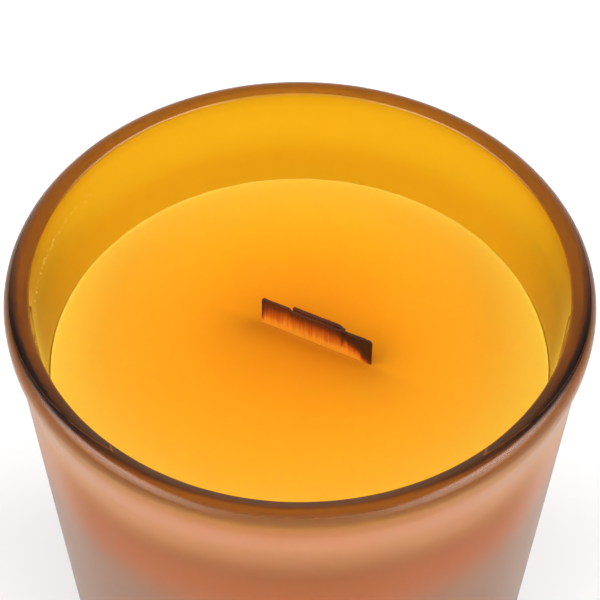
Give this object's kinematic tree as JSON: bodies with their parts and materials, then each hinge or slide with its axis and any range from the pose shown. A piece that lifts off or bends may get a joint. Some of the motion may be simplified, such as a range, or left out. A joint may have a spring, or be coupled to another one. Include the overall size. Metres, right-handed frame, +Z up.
{
  "type": "jar candle",
  "caption": "Tapered amber glass candle jar with a thick rounded lip and heavy base, filled with orange wax round a burnt flat wooden wick.",
  "frame": {"origin": "centre of the jar's foot, on the surface that it stands on", "axes": "+Z up along the jar's axis; the flat wooden wick lies along X, with its narrow booster slat on the +Y side"},
  "size_m": [0.088, 0.088, 0.1],
  "materials": {
    "amber_glass": "clear amber glass, fire-polished and glossy",
    "candle_wax": "smooth satin candle wax, slightly translucent",
    "wick_wood": "bare straight-grained wood, soaked in wax and charred along its top",
    "clip_steel": "thin tinned steel, stamped",
    "sticker_foam": "double-sided adhesive foam"
  },
  "bodies": {
    "root": {"jar": "amber_glass", "wax": "candle_wax", "wick_blade": "wick_wood", "wick_booster": "wick_wood", "wick_clip": "clip_steel", "wick_sticker": "sticker_foam"}
  },
  "joints": []
}
